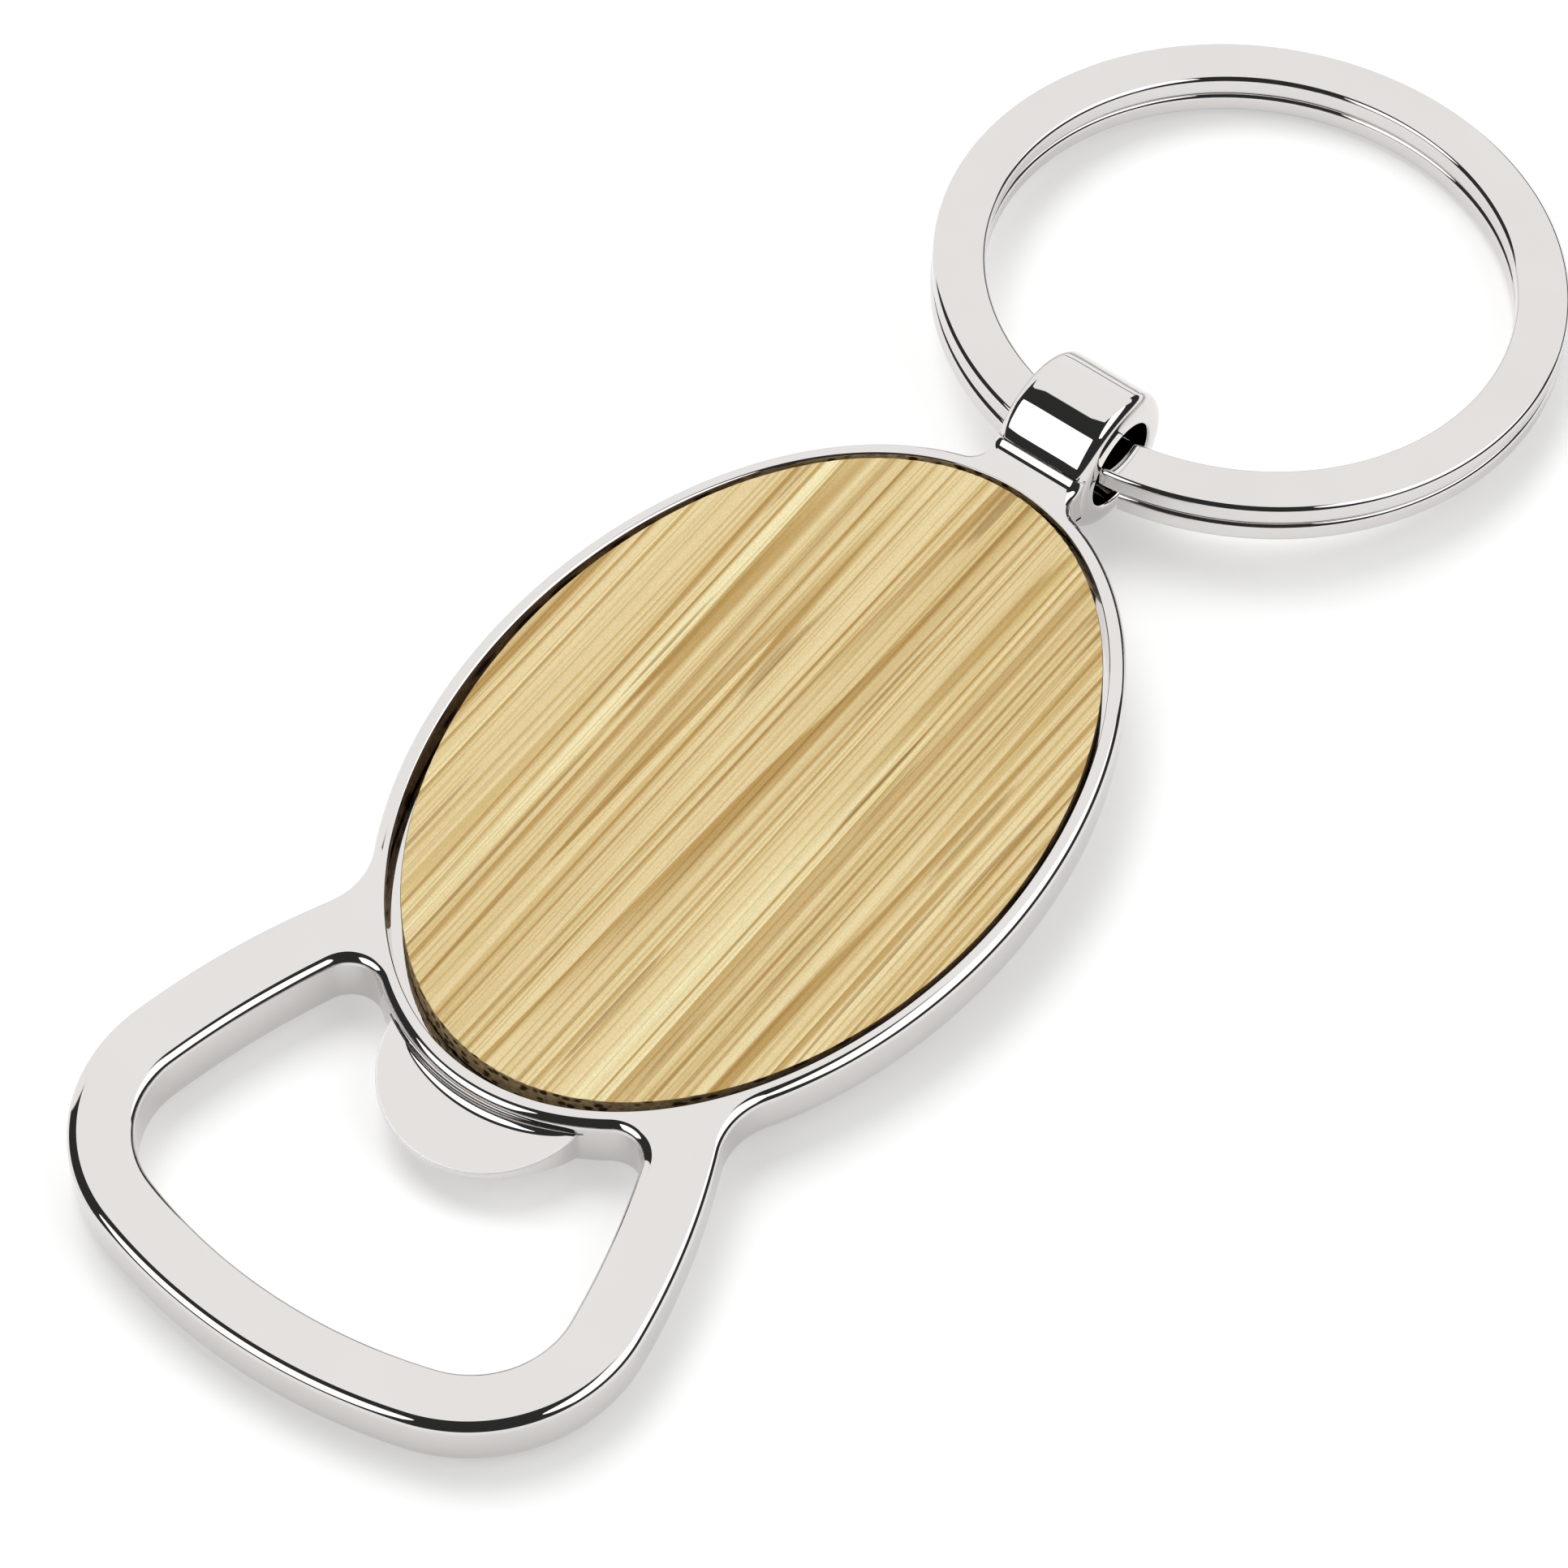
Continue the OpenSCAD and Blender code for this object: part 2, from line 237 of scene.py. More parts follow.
class Surface:
    """Patches of faces that share vertices by place, each corner with its own normal."""

    def __init__(self):
        self.places, self.points, self.faces, self.normals = {}, [], [], []

    def vertex(self, p):
        key = tuple(np.round(p, 5))
        if key not in self.places:
            self.places[key] = len(self.points)
            self.points.append(p)
        return self.places[key]

    def face(self, points, normals):
        found, kept = [], []
        for p, n in zip(points, normals):
            v = self.vertex(p)
            if v not in found:
                found.append(v)
                kept.append(n)
        if len(found) < 3:
            return
        a, b, c = (np.asarray(self.points[v]) for v in (found[0], found[1], found[2]))
        if len(found) == 4:
            c = c + np.asarray(self.points[found[3]]) - a
        if np.dot(np.cross(b - a, c - a), np.sum(kept, 0)) < 0:
            found, kept = found[::-1], kept[::-1]
        self.faces.append(found)
        self.normals.extend(kept)

    def grid(self, points, normals, wrap_rows=False, wrap_columns=False):
        rows, columns = points.shape[:2]
        for i in range(rows if wrap_rows else rows - 1):
            for j in range(columns if wrap_columns else columns - 1):
                corners = [(i, j), ((i + 1) % rows, j),
                           ((i + 1) % rows, (j + 1) % columns), (i, (j + 1) % columns)]
                self.face([points[c] for c in corners], [normals[c] for c in corners])

    def sheet(self, loops, z, up):
        """A flat face at height z between an outer loop and any holes in it."""
        flat = np.concatenate([np.asarray(loop)[:, :2] for loop in loops])
        chains = [[Vector((x, y, 0)) for x, y in np.asarray(loop)[:, :2]] for loop in loops]
        for triangle in geometry.tessellate_polygon(chains):
            self.face([np.array([*flat[k], z]) for k in triangle], [UP * up] * 3)

    def object(self, name, material):
        mesh = bpy.data.meshes.new(name)
        mesh.from_pydata([tuple(np.asarray(p) * MM) for p in self.points], [], self.faces)
        mesh.polygons.foreach_set("use_smooth", [True] * len(mesh.polygons))
        mesh.materials.append(material)
        mesh.update()
        mesh.normals_split_custom_set([tuple(unit(n)) for n in self.normals])
        made = bpy.data.objects.new(name, mesh)
        bpy.context.scene.collection.objects.link(made)
        return made


def at_height(rows, inset, z):
    """Points of an outline moved inset into the material, at height z."""
    return np.column_stack([rows[:, 0] - inset * rows[:, 2], rows[:, 1] - inset * rows[:, 3],
                            np.full(len(rows), z) if np.ndim(z) == 0 else z])


def round_edge(r, steps=8):
    """[inset, drop, outwardness, upness] from the face to the side of a quarter-round edge."""
    a = np.linspace(0, math.pi / 2, steps + 1)
    return np.stack([r * (1 - np.sin(a)), r * (1 - np.cos(a)), np.sin(a), np.cos(a)], -1)


def soft_edge(soft, steps=18):
    """An edge between quarter-round (soft = 0) and a wide superellipse shoulder (soft = 1)."""
    soft = np.asarray(soft, float)
    power = 2 + soft
    reach = EDGE_ROUND + soft * (EDGE_A - EDGE_ROUND)
    wide = EDGE_ROUND + soft * (EDGE_WIDE - EDGE_ROUND)
    start = np.arcsin(np.clip(1 - wide / reach, 0, 1) ** (power / 2))
    rows = []
    for k in range(steps + 1):
        a = start + (math.pi / 2 - start) * k / steps
        inset = reach * (1 - np.sin(a) ** (2 / power))
        drop = EDGE_B * (np.cos(start) - np.cos(a))
        rise = EDGE_B * power / (2 * reach) * np.sin(a) ** (2 - 2 / power)
        out, up = (0 * a, 1 + 0 * a) if k == 0 else (rise, np.cos(a))
        size = np.hypot(out, up)
        rows.append(np.stack([inset, drop, out / size, up / size], -1))
    return np.array(rows)


def wall_profile(soft, under):
    """[inset, height, outwardness, upness] of a plate's side, for each row of its outline."""
    top = soft_edge(soft)
    top[..., 1] = PLATE_T - top[..., 1]
    low = round_edge(under)[::-1]
    low = np.repeat(low[:, None, :], top.shape[1], 1)
    low[..., 3] *= -1
    return np.concatenate([top, low])


def add_side(surface, rows, profile):
    """The wall that follows an outline with the given profile."""
    points, normals = [], []
    for inset, z, out, up in np.moveaxis(profile, -1, 1):
        points.append(at_height(rows, inset, z))
        normals.append(np.column_stack([out[:, None] * rows[:, 2:], up]))
    surface.grid(np.array(points), np.array(normals), wrap_columns=True)


# ---------------------------------------------------------------- the cast body

def mouth_softness(rows):
    """The oval's edge over the lip is a plain round; the loop's edge has the soft shoulder."""
    beside = np.hypot(rows[:, 0] / OVAL_A, rows[:, 1] / OVAL_B) - 1
    return np.clip(beside / FULLY_SOFT, 0, 1)


def add_plate(surface):
    outer, mouth = outer_rows(), mouth_rows()
    recess = oval_rows(RECESS_A, RECESS_B, np.arange(0, 360, 1.0))
    recess = recess * np.array([1, 1, -1, -1])
    outer_side = wall_profile(np.ones(len(outer)), UNDER_OUTER)
    mouth_side = wall_profile(mouth_softness(mouth), UNDER_MOUTH)
    left = np.clip(-recess[:, 0] / RECESS_A, 0, 1)
    bevel, draft = RIM_BEVEL + (RIM_BEVEL_LEFT - RIM_BEVEL) * left, WALL_DRAFT * left
    rim = np.repeat(round_edge(1.0)[:, None, :], len(recess), 1)
    rim[..., 0] *= bevel
    rim[..., 1] = PLATE_T - bevel * rim[..., 1]
    lean = np.arctan2(draft, PLATE_T - bevel - RECESS_FLOOR)
    wall = np.stack([0 * draft, PLATE_T - bevel, np.cos(lean), np.sin(lean)], -1)
    foot = np.stack([-draft, RECESS_FLOOR + 0 * draft, np.cos(lean), np.sin(lean)], -1)
    rim = np.concatenate([rim, wall[None], foot[None]])
    for rows, profile in ((outer, outer_side), (mouth, mouth_side), (recess, rim)):
        add_side(surface, rows, profile)
    top = [at_height(outer, outer_side[0, :, 0], 0), at_height(mouth, mouth_side[0, :, 0], 0),
           at_height(recess, bevel, 0)]
    surface.sheet(top, PLATE_T, 1)
    surface.sheet([at_height(outer, UNDER_OUTER, 0), at_height(mouth, UNDER_MOUTH, 0)], 0, -1)
    surface.sheet([at_height(recess, -draft, 0)], RECESS_FLOOR, 1)


def barrel_profile():
    """[x, radius, axial and radial part of the normal] round half of the barrel's section."""
    profile = []
    for x in np.linspace(0, EYE_HALF - EYE_END_LONG, 13):
        slope = EYE_CROWN * max(0, (x - EYE_CROWN_X) / (EYE_HALF - EYE_END_LONG - EYE_CROWN_X))
        drop = slope * max(0, x - EYE_CROWN_X) / 2
        profile.append([x, EYE_R - drop, slope, 1])
    crown = drop
    for a in np.radians(np.linspace(6, 90, 15)):
        s, c = math.sin(a), math.cos(a)
        profile.append([EYE_HALF - EYE_END_LONG * (1 - s), EYE_R - crown - EYE_END_DEEP * (1 - c),
                        s * EYE_END_DEEP + EYE_CROWN * c * EYE_END_LONG, c * EYE_END_LONG])
    for inset, drop, out, up in round_edge(BORE_EDGE):
        profile.append([EYE_HALF - drop, EYE_BORE + inset, up, -out])
    return np.array(profile)


def add_eyelet(surface, around=180):
    """A tube along X with soft elliptical end roundings and a faint crown."""
    half = barrel_profile()
    profile = np.concatenate([half, half[:0:-1] * np.array([-1, 1, -1, 1])])
    turn = np.radians(np.arange(around) * 360 / around)
    points = np.zeros((len(profile), around, 3))
    normals = np.zeros_like(points)
    for i, (x, r, nx, nr) in enumerate(profile):
        points[i] = np.column_stack([np.full(around, x), EYE[1] + r * np.sin(turn),
                                     EYE[2] + r * np.cos(turn)])
        normals[i] = np.column_stack([np.full(around, nx), nr * np.sin(turn), nr * np.cos(turn)])
    surface.grid(points, unit(normals), wrap_rows=True, wrap_columns=True)


def close_fillet(surface, points, hidden, up):
    """The faces inside the metal that close a fillet: along its edges and at its two ends."""
    for edge, other in ((points[:, 0], hidden), (hidden, points[:, -1])):
        side = np.stack([edge, other], 1)
        surface.grid(side, np.tile([0.0, 0.0, up], (*side.shape[:2], 1)))
    for i, nx in ((0, -1.0), (-1, 1.0)):
        for a, b in zip(points[i][:-1], points[i][1:]):
            surface.face([a, b, hidden[i]], [np.array([nx, 0, 0])] * 3)


def add_neck_root(surface, plane_z, up):
    """The small hollow fillet between the neck's flat face and the eyelet barrel."""
    r = NECK_ROOT_R
    rise = up * (plane_z - EYE[2]) + r
    y = EYE[1] - math.sqrt((EYE_R + r) ** 2 - rise ** 2)
    touch = angle_of([EYE[1] - y, -rise])
    a = np.radians(np.linspace(-90, touch, 10))
    section = np.stack([y + r * np.cos(a), r + r * np.sin(a), -np.cos(a), -np.sin(a)], -1)
    edge = soft_edge([1.0])[:, 0] if up > 0 else round_edge(UNDER_OUTER)
    edge = np.concatenate([edge[::-1] * np.array([1, 1, -1, 1]), edge])
    points, normals = [], []
    for k, (inset, drop, out, level) in enumerate(edge):
        x = (-1 if k < len(edge) // 2 else 1) * (NECK_W - inset)
        points.append([[x, s[0] - drop * s[2], plane_z + up * (s[1] - drop * s[3])]
                       for s in section])
        normals.append([[out, level * s[2], up * level * s[3]] for s in section])
    points, normals = np.array(points), np.array(normals)
    surface.grid(points, normals)
    hidden = np.array([[p[0, 0], p[-1, 1] + ROOT_SINK_Y, plane_z - up * ROOT_SINK_Z]
                       for p in points])
    close_fillet(surface, points, hidden, -up)


def lip_side(shift):
    """Half of the lip's free edge, for a tip moved sideways, and where it ends on the oval."""
    centre = np.array([shift, LIP_R - LIP_REACH])
    t = root(lambda t: np.linalg.norm(beside_oval(t, LIP_SIDE_R) - centre)
             - LIP_R - LIP_SIDE_R, -80, -50)
    c = beside_oval(t, LIP_SIDE_R)
    start = angle_of(c - centre)
    half = np.concatenate([
        arc_rows(centre, LIP_R, -90, start, 2),
        arc_rows(c, LIP_SIDE_R, 180 + start, 180 + oval_normal_angle(t), 12, -1)])
    return half, t


def lip_outline():
    """The lip's free edge: a round tip that flows into the mouth's wall at both sides."""
    right, t_right = lip_side(LIP_X)
    left, t_left = lip_side(-LIP_X)
    return without_repeats(np.concatenate([mirrored(left), right[1:]])), -180 - t_left, t_right


def lip_height(y, under):
    y = np.asarray(y, float)
    if under:
        return LIP_TIP_Z - LIP_TIP_T - LIP_ROOT_SLOPE * np.maximum(y - LIP_BEND_Y, 0)
    return LIP_TIP_Z + LIP_SLOPE * (y + LIP_REACH)


def lip_low_normal(y):
    """Normals of the lip's lower face, which turns down smoothly towards the root."""
    slope = LIP_ROOT_SLOPE * np.clip((y - LIP_BEND_Y) / LIP_BEND_WIDE + 0.5, 0, 1)
    return unit(np.stack([0 * y, -slope, -1 + 0 * y], -1))


def add_lip(surface):
    rows, t_left, t_right = lip_outline()
    n = len(rows)
    inner = oval_rows(OVAL_A - LIP_SINK, OVAL_B - LIP_SINK, np.linspace(t_left, t_right, n))
    top_n = unit([0, -LIP_SLOPE, 1.0])
    top_edge = round_edge(LIP_EDGE, 5)
    profile = np.vstack([top_edge, top_edge[::-1]])
    half = len(top_edge)
    points, normals = [], []
    side_n = np.column_stack([rows[:, 2:], np.zeros(n)])
    for k, (inset, drop, out, up) in enumerate(profile):
        p = at_height(rows, inset, 0)
        under = k >= half
        p[:, 2] = lip_height(p[:, 1], under) + (drop if under else -drop)
        points.append(p)
        normals.append(unit(out * side_n + up * (lip_low_normal(p[:, 1]) if under else top_n)))
    points, normals = np.array(points), np.array(normals)
    first = len(surface.faces)
    surface.grid(points[:half], normals[:half])
    # the top edge's rounding faces, which carry the bright matt material of the painted highlight
    highlight_faces = range(first, len(surface.faces))
    surface.grid(points[half - 1:], normals[half - 1:])
    for edge, under in ((points[0], False), (points[-1], True)):
        steps = []
        for s in np.linspace(0, 1, 9):
            p = edge * (1 - s)
            p[:, :2] += s * inner[:, :2]
            p[:, 2] = lip_height(p[:, 1], under)
            steps.append(p)
        steps = np.array(steps)
        face_n = lip_low_normal(steps[..., 1]) if under else np.tile(top_n, (*steps.shape[:2], 1))
        surface.grid(steps, face_n)
    back = [np.column_stack([inner[:, :2], lip_height(inner[:, 1], under)])
            for under in (False, True)]
    surface.grid(np.array(back), np.tile([0.0, 1.0, 0.0], (2, n, 1)))
    for i, nx in ((0, -1.0), (-1, 1.0)):
        fan = [p[i] for p in points] + [back[1][i], back[0][i]]
        for a, b in zip(fan[:-1], fan[1:]):
            surface.face([back[0][i], a, b], [np.array([nx, 0, 0])] * 3)
    return highlight_faces


def add_lip_root(surface):
    """The hollow fillet between the mouth's wall and the lip's sloping top."""
    _, t_left, t_right = lip_outline()
    rows = oval_rows(OVAL_A, OVAL_B, np.linspace(t_left, t_right, 61))
    points, normals, hidden = [], [], []
    for x, y, nx, ny in rows:
        fall = -LIP_SLOPE * ny                       # how fast the top falls away from the wall
        r = LIP_ROOT_R * math.sqrt(max(0.01, 1 - ((x - LIP_ROOT_X) / LIP_ROOT_W) ** 2))
        tilt = math.atan(fall)
        base = lip_height(y, False)
        centre_z = base - fall * r + r * math.sqrt(1 + fall * fall)
        section, section_n = [], []
        for a in np.linspace(math.pi, 1.5 * math.pi - tilt, 13):
            u, w = r + r * math.cos(a), centre_z + r * math.sin(a)
            section.append([x + u * nx, y + u * ny, w])
            section_n.append([-math.cos(a) * nx, -math.cos(a) * ny, -math.sin(a)])
        points.append(section)
        normals.append(section_n)
        hidden.append([x - LIP_ROOT_SINK * nx, y - LIP_ROOT_SINK * ny, base - 2 * LIP_ROOT_SINK])
    points, normals, hidden = np.array(points), np.array(normals), np.array(hidden)
    surface.grid(points, normals)
    close_fillet(surface, points, hidden, -1.0)


def make_body(material, highlight_material):
    surface = Surface()
    add_plate(surface)
    add_eyelet(surface)
    add_neck_root(surface, PLATE_T, 1)
    add_neck_root(surface, 0.0, -1)
    highlight_faces = add_lip(surface)
    add_lip_root(surface)
    made = surface.object("cast_body", material)
    made.data.materials.append(highlight_material)
    # the lip's rounded top edge gets the bright matt material: a painted highlight
    for k in highlight_faces:
        made.data.polygons[k].material_index = 1
    return made


# ---------------------------------------------------------------- the split ring

def make_ring(material, step=1.5):
    turns = np.append(np.arange(WIRE_START, WIRE_END, step), WIRE_END)
    climb = np.clip((turns - RAMP_START) / (RAMP_END - RAMP_START), 0, 1)
    climb = climb ** 2 * (3 - 2 * climb)
    height = (WIRE_T + TURN_GAP) * (climb - 0.5)
    section = []
    for quarter, (sx, sy) in enumerate(((1, 1), (-1, 1), (-1, -1), (1, -1))):
        for k in range(7):
            a = math.radians(90 * quarter + 15 * k)
            section.append([sx * (WIRE_W / 2 - WIRE_EDGE) + WIRE_EDGE * math.cos(a),
                            sy * (WIRE_T / 2 - WIRE_EDGE) + WIRE_EDGE * math.sin(a),
                            math.cos(a), math.sin(a)])
    section = np.array(section)
    tilt = np.array(Matrix.Rotation(-RING_TILT, 3, "X"))
    wire_r = RING_R - WIRE_W / 2
    points, normals = [], []
    for a, h in zip(np.radians(turns), height):
        out = np.array([math.sin(a), -math.cos(a), 0])
        p = (wire_r + section[:, :1]) * out + (h + section[:, 1:2]) * UP
        points.append(p @ tilt.T + RING_C)
        normals.append((section[:, 2:3] * out + section[:, 3:] * UP) @ tilt.T)
    points, normals = np.array(points), np.array(normals)
    surface = Surface()
    surface.grid(points, normals, wrap_columns=True)
    for i, sign in ((0, -1), (-1, 1)):
        a = math.radians(turns[i])
        along = sign * np.array([math.cos(a), math.sin(a), 0]) @ tilt.T
        middle = points[i].mean(0)
        for k in range(len(section)):
            corners = [points[i][k], points[i][(k + 1) % len(section)], middle]
            surface.face(corners, [along] * 3)
    return surface.object("key_ring", material)


# ---------------------------------------------------------------- bamboo and film

def inlay_rows(inset, degrees):
    """The bamboo's outline, moved in by inset, at its place and turn in the tray."""
    rows = oval_rows(INLAY_A - inset, INLAY_B - inset, degrees)
    spin = np.array(Matrix.Rotation(INLAY_TURN, 2))
    return np.concatenate([rows[:, :2] @ spin.T + INLAY_C[:2], rows[:, 2:] @ spin.T], -1)


def make_inlay(top_material, side_material):
    """The bamboo oval: a flat sanded top and sawn sides, slightly uneven at the edge."""
    rng = np.random.default_rng(5)
    rows = inlay_rows(0, np.arange(0, 360, 0.5))
    nicks = rng.normal(0, 1, len(rows))
    nicks = np.convolve(np.concatenate([nicks, nicks[:4]]), np.ones(3) / 3, "same")[:len(rows)]
    roughness = NICK_ENDS * np.abs(rows[:, 3]) + NICK_SIDES
    surface = Surface()
    z0, z1 = FILM_HIGH[2], INLAY_HIGH[2]
    levels = [(0.03, z1), (0.008, z1 - 0.012), (0.0, z1 - 0.05)]
    levels += [(0.0, z) for z in np.linspace(z1 - 0.25, z0, 6)]
    points, normals = [], []
    for k, (inset, z) in enumerate(levels):
        wobble = roughness * np.roll(nicks, 3 * max(0, k - 2))
        p = at_height(rows, 0, z)
        p[:, :2] -= (inset + np.abs(wobble))[:, None] * rows[:, 2:]
        points.append(p)
        up = 0.75 if k == 0 else 0.25 if k == 1 else 0.0
        normals.append(unit(np.column_stack([rows[:, 2:], np.full(len(rows), up)])))
    points, normals = np.array(points), np.array(normals)
    surface.sheet([points[0]], z1, 1)
    top_faces = len(surface.faces)
    surface.grid(points, normals, wrap_columns=True)
    surface.sheet([points[-1]], z0, -1)
    made = surface.object("bamboo_oval", top_material)
    made.data.materials.append(side_material)
    for face in made.data.polygons[top_faces:]:
        face.material_index = 1
    return made


def make_film(material):
    rows = inlay_rows(FILM_INSET, np.arange(0, 360, 2))
    surface = Surface()
    points = np.array([at_height(rows, 0, FILM_HIGH[2]), at_height(rows, 0, FILM_LOW[2])])
    normals = np.tile(np.column_stack([rows[:, 2:], np.zeros(len(rows))]), (2, 1, 1))
    surface.grid(points, normals, wrap_columns=True)
    surface.sheet([points[0]], FILM_HIGH[2], 1)
    surface.sheet([points[1]], FILM_LOW[2], -1)
    return surface.object("glue_film", material)


# ---------------------------------------------------------------- materials

WHITE = (1, 1, 1)


class Nodes:
    """A short way to write node trees."""

    def __init__(self, tree):
        self.tree = tree
        tree.nodes.clear()

    def add(self, kind, **values):
        node = self.tree.nodes.new(kind)
        for key, value in values.items():
            if hasattr(node, key):
                setattr(node, key, value)
            else:
                node.inputs[key].default_value = value
        return node

    def link(self, a, b):
        self.tree.links.new(a, b)

    def math(self, operation, a, b=None):
        node = self.tree.nodes.new("ShaderNodeMath")
        node.operation = operation
        for socket, value in zip(node.inputs, (a, b)):
            if value is None:
                continue
            if isinstance(value, (int, float)):
                socket.default_value = value
            else:
                self.link(value, socket)
        return node.outputs[0]

    def place(self, scale=None, shift=0.0):
        """Object coordinates, stretched by scale when one is given."""
        place = self.add("ShaderNodeTexCoord").outputs["Object"]
        if scale is None:
            return place
        mapping = self.add("ShaderNodeMapping", Location=(shift, shift, 0), Scale=scale)
        self.link(place, mapping.inputs["Vector"])
        return mapping.outputs[0]

    def noise(self, place, scale, detail):
        node = self.add("ShaderNodeTexNoise", Scale=scale, Detail=detail)
        self.link(place, node.inputs["Vector"])
        return node.outputs["Fac"]

    def roughen(self, shader, value, spread, base):
        """Roughness of base + spread * value."""
        rough = self.math("MULTIPLY_ADD", value, spread)
        rough.node.inputs[2].default_value = base
        self.link(rough, shader.inputs["Roughness"])

    def bump(self, shader, height, strength, distance):
        node = self.add("ShaderNodeBump", Strength=strength, Distance=distance)
        self.link(height, node.inputs["Height"])
        self.link(node.outputs[0], shader.inputs["Normal"])

    def ramp(self, value, stops):
        node = self.tree.nodes.new("ShaderNodeValToRGB")
        elements = node.color_ramp.elements
        while len(elements) > 1:
            elements.remove(elements[-1])
        for k, (place, colour) in enumerate(stops):
            element = elements[0] if k == 0 else elements.new(place)
            element.position = place
            element.color = (*colour, 1)
        self.link(value, node.inputs[0])
        return node.outputs[0]

    def mix(self, factor, a, b, blend="MIX"):
        node = self.tree.nodes.new("ShaderNodeMix")
        node.data_type, node.blend_type = "RGBA", blend
        for socket, value in ((node.inputs[0], factor), (node.inputs[6], a), (node.inputs[7], b)):
            if isinstance(value, (int, float)):
                socket.default_value = value
            else:
                self.link(value, socket)
        return node.outputs[2]


def new_material(name):
    material = bpy.data.materials.new(name)
    material.use_nodes = True
    nodes = Nodes(material.node_tree)
    shader = nodes.add("ShaderNodeBsdfPrincipled")
    output = nodes.add("ShaderNodeOutputMaterial")
    nodes.link(shader.outputs[0], output.inputs[0])
    return material, nodes, shader


def chrome(name, colour, roughness, metallic=1.0):
    """Bright plating: a faint orange-peel waviness and hair-fine polishing marks."""
    material, nodes, shader = new_material(name)
    shader.inputs["Metallic"].default_value = metallic
    peel = nodes.noise(nodes.place(), 220.0, 1.0)
    marks = nodes.noise(nodes.place((9000, 400, 3000)), 1.0, 3.0)
    tint = nodes.ramp(peel, [(0.35, tuple(c * 0.985 for c in colour)), (0.65, colour)])
    nodes.link(tint, shader.inputs["Base Color"])
    nodes.roughen(shader, marks, roughness, roughness * 0.6)
    nodes.bump(shader, peel, 0.25, 0.00002)
    return material


def bamboo_top():
    """Sanded bamboo: fibres along Y as fine streaks, wide pale and tan bands, dark pores."""
    material, nodes, shader = new_material("bamboo_sanded")

    def streaks(across, along, detail, shift=0.0):
        return nodes.noise(nodes.place((across, along, along), shift), 1.0, detail)

    axes = nodes.add("ShaderNodeSeparateXYZ")
    nodes.link(nodes.place(), axes.inputs[0])

    def veins(per_metre, wander, low, shift):
        """Lines along the grain, each crisp on one side and fading on the other."""
        drift = nodes.math("MULTIPLY", streaks(per_metre * 0.55, 6, 1.0, shift), wander)
        step = nodes.math("ADD", nodes.math("MULTIPLY", axes.outputs[0], per_metre), drift)
        tooth = nodes.math("FRACT", step)
        return nodes.ramp(tooth, [(0.0, WHITE), (0.03, low), (0.16, low), (0.42, WHITE)])

    bands = streaks(330, 5, 2.0)
    fibres = streaks(2600, 16, 3.0, 3.1)
    fine = streaks(9000, 130, 3.0, 7.7)
    pores = streaks(2400, 60, 0.0, 11.3)
    mottle = nodes.noise(nodes.place(), 15000.0, 2.0)
    base = nodes.ramp(bands, [(0.32, (0.64, 0.51, 0.26)), (0.45, (0.69, 0.56, 0.31)),
                              (0.56, (0.75, 0.63, 0.37)), (0.68, (0.81, 0.73, 0.46))])
    strong = veins(900, 5.5, (0.66, 0.53, 0.33), 21.0)
    shown = nodes.ramp(streaks(700, 3, 1.0, 45.0), [(0.30, (0.2, 0.2, 0.2)), (0.52, WHITE)])
    colour = nodes.mix(shown, base, nodes.mix(1.0, base, strong, "MULTIPLY"))
    faint = veins(2300, 4.0, (0.80, 0.71, 0.53), 33.0)
    streak = nodes.ramp(fibres, [(0.32, (0.86, 0.80, 0.68)), (0.46, (0.99, 0.98, 0.95)),
                                 (0.6, WHITE)])
    grain = nodes.ramp(fine, [(0.3, (0.88, 0.85, 0.78)), (0.6, WHITE)])
    speck = nodes.ramp(mottle, [(0.3, (0.86, 0.83, 0.76)), (0.6, (1.04, 1.03, 1.0))])
    pore = nodes.ramp(pores, [(0.22, (0.50, 0.38, 0.24)), (0.27, WHITE)])
    for share, layer in ((0.8, faint), (0.8, streak), (0.6, grain), (0.7, speck), (0.7, pore)):
        colour = nodes.mix(share, colour, layer, "MULTIPLY")
    nodes.link(colour, shader.inputs["Base Color"])
    nodes.roughen(shader, fine, 0.2, 0.5)
    nodes.bump(shader, nodes.math("ADD", fibres, fine), 0.5, 0.00003)
    shader.inputs["Specular IOR Level"].default_value = 0.3
    return material


def bamboo_side():
    """Sawn edge: dark oval fibre bundles in tan tissue, with painted shade on the sides that run
    along the grain.
    """
    material, nodes, shader = new_material("bamboo_sawn_edge")
    cells = nodes.add("ShaderNodeTexVoronoi", Scale=1.0, Randomness=0.85)
    nodes.link(nodes.place((1800, 300, 2400)), cells.inputs["Vector"])
    noise = nodes.noise(nodes.place(), 4000.0, 3.0)
    ground = nodes.ramp(noise, [(0.35, (0.40, 0.27, 0.12)), (0.65, (0.66, 0.50, 0.27))])
    bundle = nodes.ramp(cells.outputs["Distance"], [(0.27, (0.10, 0.05, 0.03)), (0.42, WHITE)])
    colour = nodes.mix(1.0, ground, bundle, "MULTIPLY")
    # painted shade: the sides facing ±X, along the grain, are darkened as if shaded in the tray's
    # gap
    facing = nodes.add("ShaderNodeSeparateXYZ")
    nodes.link(nodes.add("ShaderNodeTexCoord").outputs["Normal"], facing.inputs[0])
    end_grain = nodes.math("ABSOLUTE", facing.outputs[1])
    painted_side_shade = nodes.ramp(end_grain, [(0.45, (0.30, 0.24, 0.20)), (0.85, WHITE)])
    colour = nodes.mix(1.0, colour, painted_side_shade, "MULTIPLY")
    nodes.link(colour, shader.inputs["Base Color"])
    nodes.roughen(shader, noise, 0.2, 0.65)
    nodes.bump(shader, cells.outputs["Distance"], 0.6, 0.00006)
    return material


